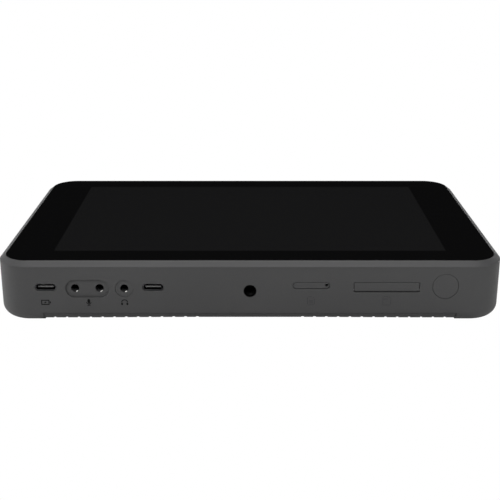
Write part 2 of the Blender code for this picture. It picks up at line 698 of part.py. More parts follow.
def make_cooling(parent, rotor_parent):
    """Pad, spreader and heat pipe from the processor to the fins behind the blower."""
    pad_z = ON_BOARD + 1.6
    add_part("thermal_pad", box((34.0, 58.0), (-34.0, -12.0), (pad_z, pad_z + 0.4)), "pad", parent)
    spread_z = (pad_z + 0.5, pad_z + 1.3)
    plate = softened_box((29.0, 66.0), (-39.0, -7.0), spread_z, 2.0, 0.2)
    add_part("heat_spreader", plate, "copper", parent)

    pipe_z = (spread_z[1] + GAP, FRAME_Z[0] - 0.4)
    turn_r, run_x, run_y = 9.0, 92.0, 61.0
    path = [(34.0, -23.0)]
    path += arc((run_x - turn_r, -23.0 + turn_r), turn_r, 270, 360, 5)
    path += arc((run_x - turn_r, run_y - turn_r), turn_r, 0, 90, 5)
    path += [(36.0, run_y)]
    add_part("heat_pipe", prism(ribbon(path, 6.0), "xy", pipe_z), "copper", parent)

    fins_top = pipe_z[0] - GAP
    count, thick, low = 14, 0.9, FAN_Z[0] + 1.2
    pitch = (EXHAUST_X[1] - EXHAUST_X[0] - thick) / (count - 1)
    comb = [(EXHAUST_X[1], fins_top), (EXHAUST_X[0], fins_top)]
    for k in range(count):
        left = EXHAUST_X[0] + k * pitch
        comb += [(left, low), (left + thick, low)]
        if k < count - 1:
            comb += [(left + thick, fins_top - 1.0), (left + pitch, fins_top - 1.0)]
    add_part("fin_stack", prism(comb, "xz", (FAN_Y + FAN_HALF + 0.5, BACK - LIP_Y[1] - 0.4)),
             "copper", parent)
    make_fan(parent, rotor_parent)


def make_fan(parent, rotor_parent):
    """A blower with its outlet to the back. The bottom cover closes its open underside."""
    centre = (FAN_X, FAN_Y)
    skin = 1.0
    case = add_part(
        "fan_case",
        box((FAN_X - FAN_HALF, FAN_X + FAN_HALF), (FAN_Y - FAN_HALF, FAN_Y + FAN_HALF), FAN_Z),
        "connector", parent,
    )
    inside = (FAN_Z[0] + 1.5, FAN_Z[1] - skin)
    below = FAN_Z[0] - 1.0
    cut(case, prism(circle(23.0, 32, centre), "xy", (below, inside[1])))
    cut(case, box((EXHAUST_X[0] + 1.5, EXHAUST_X[1] - 1.5), (FAN_Y + 12.0, FAN_Y + 30.0),
                  (below, inside[1] - 0.05)))

    blades, hub_r, tip_r = 17, 10.0, 21.0
    low, high = inside[0] + 0.8, inside[1] - 1.0
    star = []
    step = math.tau / blades
    lean, thin = 0.22, 0.05
    for k in range(blades):
        root = k * step
        for radius, angle in (
            (hub_r, root), ((hub_r + tip_r) / 2, root + lean * 0.35), (tip_r, root + lean),
            (tip_r, root + lean + thin), ((hub_r + tip_r) / 2, root + lean * 0.35 + thin * 1.4),
            (hub_r, root + thin * 2.2),
        ):
            star.append((FAN_X + radius * math.cos(angle), FAN_Y + radius * math.sin(angle)))
    rotor = add_part("fan_impeller", prism(star, "xy", (low, high)), "connector", rotor_parent,
                     (*centre, low))
    hub_floor = low + 1.4
    cut(rotor, prism(circle(8.8, 24, centre), "xy", (hub_floor, high + 1.0)))

    shaft = prism(circle(1.0, 12, centre), "xy", (hub_floor + GAP, inside[1] - 0.6))
    add_part("fan_shaft", shaft, "steel", rotor_parent, (*centre, low))
    bearing_z = (hub_floor + 1.5, inside[1] - GAP)
    bearing = tube(circle(2.6, 16, centre), circle(1.1, 16, centre), "xy", bearing_z)
    add_part("fan_bearing", bearing, "steel", parent)
    stator = tube(circle(7.6, 18, centre), circle(2.8, 18, centre), "xy",
                  (hub_floor + 1.2, inside[1] - GAP))
    add_part("fan_stator", stator, "copper", parent)


def make_power_and_sound(parent):
    """Two battery cells, their lead, and a loudspeaker over each row of slots."""
    cell_z = (FLOOR + 0.4, FLOOR + 10.4)
    for name, x in (("battery_left", (-82.0, -35.0)), ("battery_right", (-32.0, 15.0))):
        add_part(name, softened_box(x, (-3.0, 55.0), cell_z, 3.0, 1.2), "battery", parent)
    lead_z = cell_z[1] + 1.0
    add_cable("battery_cable", [
        (2.0, 10.0, lead_z), (2.0, 4.0, lead_z), (2.5, -2.0, lead_z + 1.2),
        (4.0, -8.0, ON_BOARD + 1.6), (6.0, -14.0, ON_BOARD + 1.0),
    ], 0.7, parent)

    for side, sx in (("left", -1), ("right", 1)):
        x = sorted((sx * 91.5, sx * 105.5))
        box_solid = softened_box(x, (-22.0, 22.0), (FLOOR + 0.6, FLOOR + 6.6), 2.0, 0.6)
        add_part(f"speaker_{side}", box_solid, "connector", parent)


def make_radio_and_flex(parent):
    """The aerial on the back wall, its lead, and the screen's flexible circuit."""
    back_y = BACK - WALL - 1.3
    strip = box((-95.0, -55.0), (back_y, back_y + 0.8), (BASE + 12.8, BASE + 19.4))
    add_part("antenna", strip, "circuit", parent)
    high = BASE + 17.6
    add_cable("antenna_cable", [
        (-70.0, back_y - 0.9, high), (-70.0, 58.0, high), (-66.0, 40.0, high), (-60.0, 10.0, high),
        (-50.0, -8.0, high), (-40.0, -16.0, high + 0.2), (-36.0, -26.0, high + 0.2),
    ], 0.5, parent)

    over, under = FRAME_Z[1] + 0.3, ON_BOARD + 0.3
    path = [(-44.0, over), (-55.5, over)]
    path += arc((-57.6, over - 1.4), 1.4, 90, 180, 4)
    path += arc((-57.6, under + 1.6), 1.6, 180, 270, 4)
    path += [(-52.0, under)]
    add_part("display_flex", prism(ribbon(path, 0.25), "yz", (-34.0, -14.0)), "flex", parent)


def screw(spot, head_z, tip_z, head_r=2.2, shank_r=1.2):
    """A cheese-head screw; the shank points away from the head, up or down."""
    sign = 1 if tip_z > head_z else -1
    under = head_z + sign * 1.0
    rings = [(head_r - 0.2, head_z), (head_r, head_z + sign * 0.2), (head_r, under),
             (shank_r, under), (shank_r, tip_z)]
    return loft([raise_outline(circle(radius, 12, spot), "xy", z) for radius, z in rings])


def make_fasteners(parent):
    """Cover and board screws go in from below, frame screws from above."""
    sets = (
        ("cover_screw", COVER_SCREWS, SCREW_HEAD_Z, BASE + 10.5),
        ("board_screw", BOARD_SCREWS, BOARD_Z[0] - 1.1, BOARD_Z[1] + 3.0),
        ("frame_screw", FRAME_SCREWS, FRAME_Z[1] + 1.1, BASE + 12.0),
    )
    for name, spots, head_z, tip_z in sets:
        for k, spot in enumerate(spots, start=1):
            add_part(f"{name}_{k}", screw(spot, head_z, tip_z), "steel", parent)


# ---------------------------------------------------------------- assembly


def add_body(name):
    """An empty that groups the parts of one rigid body."""
    empty = bpy.data.objects.new(name, None)
    bpy.context.scene.collection.objects.link(empty)
    return empty


def main():
    for obj in list(bpy.data.objects):
        bpy.data.objects.remove(obj, do_unlink=True)
    chassis = add_body("chassis_body")
    make_main_housing(chassis)
    make_bottom_cover(chassis)
    make_top_bezel(chassis)
    make_screen(chassis)
    make_feet(chassis)
    make_usb_ports(chassis)
    make_jacks(chassis)
    make_tripod_insert(chassis)
    make_sim(chassis, add_body("sim_tray_body"))
    make_sd(chassis, add_body("sd_door_body"))
    make_power_button(chassis, add_body("power_button_body"))
    make_frame_and_board(chassis)
    make_cooling(chassis, add_body("fan_rotor_body"))
    make_power_and_sound(chassis)
    make_radio_and_flex(chassis)
    make_fasteners(chassis)


main()
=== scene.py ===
"""The looks of the smart display: detailed outer pieces, materials, floor, light and camera.

Shapes are drawn in millimetres, in the frame's axes, and turned into metres by add_piece().
Places come from the boxes of the CAD nodes that the pieces stand for.
"""

import json
import math

import bmesh
import bpy
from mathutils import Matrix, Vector


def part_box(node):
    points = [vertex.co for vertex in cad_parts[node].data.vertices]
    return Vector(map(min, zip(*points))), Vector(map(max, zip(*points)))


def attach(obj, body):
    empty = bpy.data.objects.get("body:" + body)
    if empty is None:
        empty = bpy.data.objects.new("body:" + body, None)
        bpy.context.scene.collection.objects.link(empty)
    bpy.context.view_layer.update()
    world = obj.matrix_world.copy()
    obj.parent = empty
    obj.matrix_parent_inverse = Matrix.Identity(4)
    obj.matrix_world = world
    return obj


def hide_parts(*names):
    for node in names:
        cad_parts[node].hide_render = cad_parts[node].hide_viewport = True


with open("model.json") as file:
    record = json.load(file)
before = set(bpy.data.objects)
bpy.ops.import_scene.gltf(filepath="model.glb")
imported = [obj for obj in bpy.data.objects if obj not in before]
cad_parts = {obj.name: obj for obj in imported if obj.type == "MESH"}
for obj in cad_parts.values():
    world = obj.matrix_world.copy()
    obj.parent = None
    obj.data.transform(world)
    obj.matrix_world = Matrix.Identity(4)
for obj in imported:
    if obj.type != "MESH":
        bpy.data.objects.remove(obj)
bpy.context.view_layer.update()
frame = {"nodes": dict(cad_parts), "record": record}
MM = 0.001

# ---------------------------------------------------------------- places, from the frame


class Extent:
    """A CAD node's box at rest, in millimetres."""

    def __init__(self, node):
        low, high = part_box(node)
        self.x0, self.y0, self.z0 = low / MM
        self.x1, self.y1, self.z1 = high / MM
        self.x = (self.x0 + self.x1) / 2
        self.y = (self.y0 + self.y1) / 2
        self.z = (self.z0 + self.z1) / 2
        self.width = self.x1 - self.x0
        self.depth = self.y1 - self.y0
        self.height = self.z1 - self.z0


HOUSING = Extent("main_housing")
BEZEL = Extent("top_bezel")
GLASS = Extent("cover_glass")
COVER = Extent("bottom_cover")
BASE = HOUSING.z0
TOP = BEZEL.z1
FRONT, BACK = HOUSING.y0, HOUSING.y1
BODY_W, BODY_D = HOUSING.width, HOUSING.depth

# ---------------------------------------------------------------- sizes of the object

# Body, bezel and screen.
CORNER_R = 14.0
BOTTOM_R = 5.2
CHAMFER_IN = 2.6
CHAMFER_H = 1.95
WALL = 2.2
RIM_Z = HOUSING.z1
BEZEL_EDGE_Z = TOP - CHAMFER_H
LEDGE_IN = 7.0
ACTIVE_W, ACTIVE_D = 172.2, 107.6
CORNER_STEPS = 18
ROUND_STEPS = 10

# Bottom cover. COVER_ARCH pairs a distance from the middle with how far the cover lies inside.
COVER_ARCH = ((22.0, 0.69), (44.0, 0.61), (66.0, 0.49), (COVER.x1, 0.46))
COVER_FLOOR = BASE + 3.0
COVER_TOP = BASE + 4.15
COVER_SEAM = 0.12
LIP_Y = (WALL + 0.7, WALL + 2.0)
RIB_PITCH = 5.165
GROOVE_W = 1.25
GROOVE_TOP = BASE + 1.83
FIRST_GROOVE = 22.95
GROOVES_A_SIDE = 13
SCREW_HOLE_R = 1.6
SCREW_SEAT_R = 2.6
SCREW_SEAT_DEEP = 1.05
SCREW_FLARE = 0.15

# CLEAR is how far a cutter reaches past a surface, and SLEEVE the gap round a fitted nose.
CLEAR = 1.0
THROUGH = WALL + CLEAR
SLEEVE = 0.02

# Ports, SIM tray, memory card door and power button.
USB_HOLE = (9.2, 3.46)
PILL = (18.6, 8.1)
DISH_R = 3.95
PILL_DEEP, DISH_DEEP = 0.9, 0.45
JACK_HOLE_R = 1.88
JACK_BORE_R = 1.75
# A pale leaf in each jack bore, between these angles and radii at its lower right, is a painted glint.
GLINT_LEAF_ANGLES = (281, 314)
GLINT_LEAF_R = (JACK_BORE_R - 0.24, JACK_BORE_R - 0.01)
THREAD_R = (2.55, 3.17)
THREAD_PITCH = 1.27
THREAD_NOSE_R = 2.8
SD_HOLE = (28.36, 4.6)
SD_HOLE_LIFT = 0.06
TRAY_GAP = 0.15
USB_FLARE = 0.12
EDGE_FLARE = 0.03
BUTTON_R = 5.59
BUTTON_HOLE_R = 5.65
SIM_PIN = (6.6, 0.22)
SIM_PIN_R = 0.76
SIM_SLAB_HALF = 5.6
SIM_CARD_HALF = 4.4

# Fan inlet, exhaust and speaker slots.
FAN = Extent("fan_case")
FAN_INLET_R = 16.0
SHORTEST_INLET = 6.0
INLET_W = 0.9
EXHAUST_X = (36.0, 76.5)
EXHAUST_Z = BASE + 10.2
EXHAUST_SLOT = (1.8, 9.5)
EXHAUST_COUNT = 12
SPEAKER_SLOT = (9.0, 1.3)
SPEAKER_PITCH = 3.2
SPEAKER_ROWS = 7

# Signs by the ports: how deep they are engraved, and how deep the ink lies.
SIGN_DEEP = 0.09
INK_DEEP = 0.03
SIGN_Z = BASE + 9.25
SIGN_X = {"battery": -87.65, "mic": -69.35, "headphones": -53.95}
CARD_SIGN_Z = BASE + 9.95
CARD_SIGN_X = {"sim": 26.25, "memory": 58.85}
CARD_SIGN_SIZE = {"sim": (3.0, 3.7), "memory": (3.4, 3.9)}

# ---------------------------------------------------------------- outlines, as (u, v) points


def rounded_rect(width, depth, radius, steps=6, centre=(0.0, 0.0)):
    """A rectangle with round corners, anticlockwise."""
    cu, cv = width / 2 - radius, depth / 2 - radius
    points = []
    for u, v, start in ((cu, cv, 0), (-cu, cv, 90), (-cu, -cv, 180), (cu, -cv, 270)):
        middle = (centre[0] + u, centre[1] + v)
        points += arc(middle, radius, start, start + 90, steps)
    return points


def slot(width, height, centre=(0.0, 0.0), steps=8):
    """A slot with nearly full-round ends."""
    radius = min(width, height) / 2 - 0.01
    return rounded_rect(width, height, radius, steps, centre)


def circle(radius, sides=40, centre=(0.0, 0.0)):
    turn = math.tau / sides
    return [
        (centre[0] + radius * math.cos(k * turn), centre[1] + radius * math.sin(k * turn))
        for k in range(sides)
    ]


def rectangle(u, v):
    return [(u[0], v[0]), (u[1], v[0]), (u[1], v[1]), (u[0], v[1])]


def arc(centre, radius, start, end, steps):
    """Points on an arc from start to end, in degrees."""
    angles = [math.radians(start + (end - start) * k / steps) for k in range(steps + 1)]
    return [(centre[0] + radius * math.cos(a), centre[1] + radius * math.sin(a)) for a in angles]


def ribbon(path, width):
    """The outline of a flat strip that follows a path."""
    left, right = [], []
    for k, point in enumerate(path):
        before = Vector(path[max(k - 1, 0)])
        after = Vector(path[min(k + 1, len(path) - 1)])
        along = (after - before).normalized()
        side = Vector((-along.y, along.x)) * (width / 2)
        left.append(tuple(Vector(point) + side))
        right.append(tuple(Vector(point) - side))
    return left + right[::-1]


def moved(outline, centre):
    """The outline with its origin at centre."""
    return [(u + centre[0], v + centre[1]) for u, v in outline]


# ---------------------------------------------------------------- solids, as bmesh in millimetres

PLANES = {"xy": (0, 1, 2), "xz": (0, 2, 1), "yz": (1, 2, 0)}


def raise_outline(outline, plane, height):
    """A flat outline in one of the three planes, at a height along the third axis."""
    u_axis, v_axis, n_axis = PLANES[plane]
    loop = []
    for u, v in outline:
        point = [0.0, 0.0, 0.0]
        point[u_axis], point[v_axis], point[n_axis] = u, v, height
        loop.append(point)
    return loop


def loft(loops, closed=False):
    """Skins loops of equal length in turn, and caps the ends unless the skin closes on itself."""
    bm = bmesh.new()
    rings = [[bm.verts.new(point) for point in loop] for loop in loops]
    pairs = list(zip(rings, rings[1:]))
    if closed:
        pairs.append((rings[-1], rings[0]))
    for low, high in pairs:
        for k in range(len(low)):
            n = (k + 1) % len(low)
            bm.faces.new((low[k], low[n], high[n], high[k]))
    if not closed:
        bm.faces.new(rings[0][::-1])
        bm.faces.new(rings[-1])
    bmesh.ops.recalc_face_normals(bm, faces=bm.faces)
    return bm


def skin(outlines, plane, closed=False):
    """A loft from (outline, height) pairs."""
    return loft([raise_outline(outline, plane, height) for outline, height in outlines], closed)


def prism(outline, plane, span):
    return skin([(outline, span[0]), (outline, span[1])], plane)


def box(x, y, z):
    return prism(rectangle(x, y), "xy", z)


def body_loop(inset, z):
    """The outline of the housing, moved in by inset, at height z."""
    outline = rounded_rect(
        BODY_W - 2 * inset, BODY_D - 2 * inset, CORNER_R - inset, CORNER_STEPS
    )
    return raise_outline(outline, "xy", z)


def gathered(solids):
    """Several separate solids as one bmesh."""
    bm = bmesh.new()
    for solid in solids:
        mesh = bpy.data.meshes.new("gathered")
        solid.to_mesh(mesh)
        solid.free()
        bm.from_mesh(mesh)
        bpy.data.meshes.remove(mesh)
    return bm


def temporary(bm):
    """A scene object that holds bm while a modifier runs."""
    mesh = bpy.data.meshes.new("temporary")
    bm.to_mesh(mesh)
    bm.free()
    obj = bpy.data.objects.new("temporary", mesh)
    bpy.context.scene.collection.objects.link(obj)
    return obj


def combined(bm, solids, operation):
    """bm after one exact Boolean with all of the solids."""
    body, tool = temporary(bm), temporary(gathered(solids))
    modifier = body.modifiers.new("combine", "BOOLEAN")
    modifier.operation = operation
    modifier.object = tool
    modifier.solver = "EXACT"
    result = bmesh.new()
    result.from_object(body, bpy.context.evaluated_depsgraph_get())
    for obj in (body, tool):
        mesh = obj.data
        bpy.data.objects.remove(obj)
        bpy.data.meshes.remove(mesh)
    return result


def cut(bm, solids):
    return combined(bm, solids, "DIFFERENCE")


def joined(bm, solids):
    return combined(bm, solids, "UNION")


def front_hole(outline_of, lip, deep):
    """A cutter through the front face whose mouth flares by lip. outline_of(grow) is its outline."""
    return skin(
        [(outline_of(lip), FRONT - CLEAR), (outline_of(lip), FRONT), (outline_of(0.0), FRONT + lip),
         (outline_of(0.0), FRONT + deep)], "xz",
    )


# ---------------------------------------------------------------- materials


def add_node(tree, kind, inputs=(), **settings):
    """A shader node. Each input is a number or colour, or (node, output name) to link."""
    node = tree.nodes.new(kind)
    for key, value in settings.items():
        setattr(node, key, value)
    for key, value in dict(inputs).items():
        if isinstance(value, tuple) and isinstance(value[0], bpy.types.Node):
            tree.links.new(value[0].outputs[value[1]], node.inputs[key])
        else:
            node.inputs[key].default_value = value
    return node


def noise(tree, coords, scale, detail=3.0, stretch=(1.0, 1.0, 1.0)):
    """Noise in the piece's own metres; scale is features per metre."""
    placed = add_node(tree, "ShaderNodeMapping", {"Vector": (coords, "Object"), "Scale": stretch})
    return add_node(
        tree, "ShaderNodeTexNoise", {"Vector": (placed, "Vector"), "Scale": scale, "Detail": detail}
    )


def ranged(tree, source, low, high, start=0.3, end=0.7):
    """A node output between 0 and 1, mapped to low..high. Noise mostly fills 0.3 to 0.7."""
    return add_node(tree, "ShaderNodeMapRange", {
        "Value": source, "From Min": start, "From Max": end, "To Min": low, "To Max": high,
    })


def blended(tree, factor, first, second):
    """A colour between two, which are RGB triples or (node, output) links."""
    mix = add_node(tree, "ShaderNodeMix", {"Factor": factor}, data_type="RGBA")
    for socket, value in (("A", first), ("B", second)):
        target = next(s for s in mix.inputs if s.name == socket and s.type == "RGBA")
        if isinstance(value[0], bpy.types.Node):
            tree.links.new(value[0].outputs[value[1]], target)
        else:
            target.default_value = (*value, 1.0)
    colour_out = next(k for k, s in enumerate(mix.outputs) if s.type == "RGBA")
    return mix, colour_out


def make_surface(name, colour, roughness, metallic=0.0, mottle=0.12, mottle_scale=60.0,
                 grain_scale=2500.0, grain_depth=0.02, stretch=(1.0, 1.0, 1.0), **shader_values):
    """A finish with drifting tone, uneven roughness and a fine bump.

    colour is linear RGB. mottle is how far the tone drifts. grain_depth is in millimetres.
    """
    material = bpy.data.materials.new(name)
    material.use_nodes = True
    tree = material.node_tree
    shader = tree.nodes["Principled BSDF"]
    coords = add_node(tree, "ShaderNodeTexCoord")
    drift = noise(tree, coords, mottle_scale, 4.0, stretch)
    grain = noise(tree, coords, grain_scale, 2.0, stretch)
    darker = [c * (1 - mottle) for c in colour]
    lighter = [c * (1 + mottle) for c in colour]
    drift_range = ranged(tree, (drift, "Fac"), 0.0, 1.0)
    tone, out = blended(tree, (drift_range, "Result"), darker, lighter)
    grain_range = ranged(tree, (grain, "Fac"), roughness * 0.88, min(roughness * 1.12, 1.0))
    bump = add_node(tree, "ShaderNodeBump", {
        "Height": (grain, "Fac"), "Distance": grain_depth * MM, "Strength": 1.0,
    })
    tree.links.new(tone.outputs[out], shader.inputs["Base Color"])
    tree.links.new(grain_range.outputs["Result"], shader.inputs["Roughness"])
    tree.links.new(bump.outputs["Normal"], shader.inputs["Normal"])
    shader.inputs["Metallic"].default_value = metallic
    for key, value in shader_values.items():
        shader.inputs[key.replace("_", " ")].default_value = value
    return material


def make_glass_surface():
    """Cover glass: a black printed border round a slightly lighter screen, with faint smears."""
    border, screen = (0.0022, 0.0022, 0.0023), (0.0064, 0.0064, 0.0066)
    edge_soft = 0.12 * MM
    material = bpy.data.materials.new("glass_finish")
    material.use_nodes = True
    tree = material.node_tree
    shader = tree.nodes["Principled BSDF"]
    coords = add_node(tree, "ShaderNodeTexCoord")
    place = add_node(tree, "ShaderNodeSeparateXYZ", {"Vector": (coords, "Object")})
    masks = []
    for axis, half in (("X", ACTIVE_W / 2 * MM), ("Y", ACTIVE_D / 2 * MM)):
        size = add_node(tree, "ShaderNodeMath", {0: (place, axis)}, operation="ABSOLUTE")
        masks.append(ranged(tree, (size, 0), 1.0, 0.0, half - edge_soft, half + edge_soft))
    inside = add_node(
        tree, "ShaderNodeMath", {0: (masks[0], 0), 1: (masks[1], 0)}, operation="MULTIPLY"
    )
    tone, out = blended(tree, (inside, 0), border, screen)
    smear = noise(tree, coords, 18.0, 6.0, (1.0, 2.2, 1.0))
    rough = ranged(tree, (smear, "Fac"), 0.07, 0.13)
    tree.links.new(tone.outputs[out], shader.inputs["Base Color"])
    tree.links.new(rough.outputs["Result"], shader.inputs["Roughness"])
    shader.inputs["IOR"].default_value = 1.5
    return material


def make_materials():
    """The finishes, by the record's material slots and by the pieces that need their own."""
    finishes = {
        "housing": make_surface("housing_finish", (0.0378, 0.0378, 0.0382), 0.62, mottle=0.035,
                                mottle_scale=25.0, grain_scale=2200.0, grain_depth=0.012),
        # The bezel is the housing's dark grey made lighter: painted light for the extra light its
        # sloping chamfer catches.
        "bezel": make_surface("bezel_grey_and_painted_light", (0.051, 0.051, 0.052), 0.55, mottle=0.035,
                              mottle_scale=25.0, grain_scale=2200.0, grain_depth=0.01),
        "glass": make_glass_surface(),
        "rubber": make_surface("rubber_finish", (0.018, 0.018, 0.018), 0.85, mottle=0.15,
                               grain_scale=1500.0, grain_depth=0.04),
        "steel": make_surface("steel_finish", (0.55, 0.55, 0.56), 0.32, 1.0, mottle=0.08,
                              mottle_scale=300.0, grain_depth=0.004, stretch=(1.0, 6.0, 1.0)),
        "dark_metal": make_surface("dark_metal_finish", (0.1, 0.1, 0.105), 0.34, 1.0,
                                   mottle=0.15, mottle_scale=400.0, grain_depth=0.004),
        "connector": make_surface("connector_finish", (0.03, 0.03, 0.031), 0.5, mottle=0.1),
        "circuit": make_surface("circuit_finish", (0.015, 0.075, 0.04), 0.38, mottle=0.35,
                                mottle_scale=220.0, grain_scale=900.0),
        "copper": make_surface("copper_finish", (0.72, 0.37, 0.22), 0.3, 1.0, mottle=0.15,
                               mottle_scale=150.0, grain_depth=0.006, stretch=(6.0, 1.0, 1.0)),
        "aluminium": make_surface("aluminium_finish", (0.62, 0.63, 0.64), 0.4, 1.0, mottle=0.06,
                                  grain_depth=0.005, stretch=(1.0, 8.0, 1.0)),
        "battery": make_surface("battery_finish", (0.22, 0.23, 0.24), 0.34, 0.4, mottle=0.1,
                                grain_depth=0.02),
        "display": make_surface("display_finish", (0.011, 0.011, 0.013), 0.3, mottle=0.1),
        "adhesive": make_surface("adhesive_finish", (0.02, 0.02, 0.02), 0.9, mottle=0.2,
                                 grain_scale=1200.0, grain_depth=0.05),
        "flex": make_surface("flex_finish", (0.5, 0.24, 0.06), 0.36, mottle=0.15),
        "cable": make_surface("cable_finish", (0.02, 0.02, 0.02), 0.45, mottle=0.1),
        "pad": make_surface("pad_finish", (0.4, 0.46, 0.58), 0.9, mottle=0.1, grain_depth=0.03),
    }
    finishes["tongue"] = make_surface("tongue_finish", (0.1, 0.1, 0.1), 0.5, mottle=0.06)
    finishes["contact"] = make_surface("contact_finish", (0.85, 0.82, 0.72), 0.3, 0.7,
                                       mottle=0.05, grain_depth=0.002)
    finishes["blackened"] = make_surface("blackened_finish", (0.012, 0.012, 0.012), 0.5, 1.0,
                                         mottle=0.15, mottle_scale=400.0, grain_depth=0.004)
    # Near-white leaf colour: a painted glint at the lower right of each jack bore.
    finishes["painted_glint"] = make_surface("painted_glint_finish", (0.95, 0.94, 0.9), 0.5, 0.25,
                                      mottle=0.04, grain_depth=0.002)
    finishes["dark_sign"] = make_surface("dark_sign_finish", (0.003, 0.003, 0.003), 0.85,
                                         mottle=0.1, Specular_IOR_Level=0.1)
    finishes["faint_sign"] = make_surface("faint_sign_finish", (0.026, 0.026, 0.027), 0.7,
                                          mottle=0.05)
    return finishes


FINISH = make_materials()

# ---------------------------------------------------------------- pieces


def add_piece(name, bm, finish, body="chassis", nodes=(), sharp=30.0):
    """A piece of the object, drawn in millimetres, that rides on a body and stands for nodes."""
    bmesh.ops.scale(bm, verts=bm.verts, vec=(MM, MM, MM))
    mesh = bpy.data.meshes.new(name)
    bm.to_mesh(mesh)
    bm.free()
    mesh.materials.append(FINISH[finish])
    mesh.shade_smooth()
    mesh.set_sharp_from_angle(angle=math.radians(sharp))
    obj = bpy.data.objects.new(name, mesh)
    bpy.context.scene.collection.objects.link(obj)
    modifier = obj.modifiers.new("weighted_normals", "WEIGHTED_NORMAL")
    modifier.keep_sharp = True
    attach(obj, body)
    if nodes:
        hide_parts(*nodes)
    return obj


def bottom_arc(radius, steps):
    """(inset, height) pairs up a round lower edge, all about the same centre line."""
    pairs = []
    for k in range(steps + 1):
        angle = math.radians(90 * k / steps)
        pairs.append(
            (BOTTOM_R - radius * math.sin(angle), BASE + BOTTOM_R - radius * math.cos(angle))
        )
    return pairs


def port_cutters():
    """Cutters for every opening in the front face, with a broken edge at each mouth but the jacks'."""
    cutters = []
    for use in ("power", "data"):
        port = Extent(f"usb_c_{use}_shell")
        cutters.append(front_hole(
            lambda g, c=(port.x, port.z): slot(USB_HOLE[0] + 2 * g, USB_HOLE[1] + 2 * g, c),
            USB_FLARE, THROUGH))
    for use in ("line_in", "mic", "headphone"):
        jack = Extent(f"{use}_jack")
        cutters.append(prism(circle(JACK_HOLE_R, 40, (jack.x, jack.z)), "xz",
                             (FRONT - CLEAR, FRONT + THROUGH)))
    tripod = Extent("tripod_insert")
    cutters.append(front_hole(lambda g: circle(THREAD_NOSE_R + g, 40, (tripod.x, tripod.z)),
                              SLEEVE, THROUGH))
    tray = Extent("sim_tray")
    face = (tray.width + 2 * TRAY_GAP, tray.height + 2 * TRAY_GAP)
    cutters.append(front_hole(
        lambda g: slot(face[0] + 2 * g, face[1] + 2 * g, (tray.x, tray.z)), EDGE_FLARE, THROUGH))
    door = Extent("sd_door")
    cutters.append(front_hole(
        lambda g: rounded_rect(SD_HOLE[0] + 2 * g, SD_HOLE[1] + 2 * g, 0.5 + g, 4,
                               (door.x, door.z + SD_HOLE_LIFT)),
        EDGE_FLARE, THROUGH))
    button = Extent("power_button")
    cutters.append(front_hole(lambda g: circle(BUTTON_HOLE_R + g, 64, (button.x, button.z)),
                              EDGE_FLARE, THROUGH))
    return cutters


def recess_cutters():
    """The pill round two jacks and the dish round the third, with sloping sides."""
    line_in, mic = Extent("line_in_jack"), Extent("mic_jack")
    phones = Extent("headphone_jack")
    middle = ((line_in.x + mic.x) / 2, line_in.z)
    slope = 0.1
    shapes = (
        (lambda g: slot(PILL[0] + 2 * g, PILL[1] + 2 * g, middle, 16), PILL_DEEP),
        (lambda g: circle(DISH_R + g, 48, (phones.x, phones.z)), DISH_DEEP),
    )
    return [
        skin([(shape(0.0), FRONT - CLEAR), (shape(0.0), FRONT), (shape(-slope), FRONT + deep)], "xz")
        for shape, deep in shapes
    ]


def vent_cutters():
    """Exhaust slots in the back wall and a row of slots under each speaker."""
    pitch = (EXHAUST_X[1] - EXHAUST_X[0]) / (EXHAUST_COUNT - 1)
    middle_row = (SPEAKER_ROWS - 1) / 2
    cutters = [
        prism(slot(*EXHAUST_SLOT, (EXHAUST_X[0] + k * pitch, EXHAUST_Z)), "xz",
              (BACK - THROUGH, BACK + CLEAR))
        for k in range(EXHAUST_COUNT)
    ]
    for side in ("left", "right"):
        speaker = Extent(f"speaker_{side}")
        cutters += [
            prism(slot(*SPEAKER_SLOT, (speaker.x, (k - middle_row) * SPEAKER_PITCH)), "xy",
                  (BASE - CLEAR, BASE + 3.0))
            for k in range(SPEAKER_ROWS)
        ]
    return cutters


def make_housing():
    outer = bottom_arc(BOTTOM_R, ROUND_STEPS) + [(0.0, RIM_Z)]
    inner = [(WALL, RIM_Z)] + bottom_arc(BOTTOM_R - WALL, 4)[::-1]
    bm = loft([body_loop(*pair) for pair in outer + inner])
    side_gap = 0.05
    bm = cut(bm, [box((COVER.x0 - side_gap, COVER.x1 + side_gap), (FRONT - CLEAR, BACK + CLEAR),
                      (BASE - CLEAR, COVER_TOP + COVER_SEAM))])
    bm = cut(bm, port_cutters() + vent_cutters())
    feet = [Extent(f"foot_{end}_{side}") for end in ("front", "back") for side in ("left", "right")]
    pockets = [
        prism(slot(foot.width + 0.4, foot.depth + 0.4, (foot.x, foot.y)), "xy",
              (BASE - CLEAR, BASE + 1.0))
        for foot in feet
    ]
    bm = cut(bm, recess_cutters() + pockets)
    signs = [
        prism(outline, "xz", (FRONT - CLEAR, FRONT + SIGN_DEEP))
        for outlines in SIGNS.values() for outline in outlines
    ]
    bm = cut(bm, signs)
    add_piece("housing_shell", bm, "housing", nodes=["main_housing"])


# ---------------------------------------------------------------- signs by the ports


def battery_sign(centre):
    """A battery with a bolt across it."""
    line = 0.42
    shell = [ribbon([(-2.2, z), (1.35, z)], line) for z in (-0.95, 0.95)]
    shell += [ribbon([(x, -0.71), (x, 0.71)], line) for x in (-1.99, 1.14)]
    cap = rectangle((1.45, 1.9), (-0.45, 0.45))
    bolt = [(0.2, 0.7), (-1.15, -0.15), (-0.5, -0.15), (-1.0, -0.7), (0.35, 0.15), (-0.3, 0.15)]
    return [moved(outline, centre) for outline in (*shell, cap, bolt)]


def mic_sign(centre):
    """A microphone capsule in its stand."""
    capsule = slot(1.15, 2.0, (0.0, 0.55), 6)
    cradle = ribbon(arc((0.0, 0.3), 1.05, 195, 345, 10), 0.36)
    stem = rectangle((-0.2, 0.2), (-1.2, -0.95))
    foot = rectangle((-0.75, 0.75), (-1.55, -1.22))
    return [moved(outline, centre) for outline in (capsule, cradle, stem, foot)]


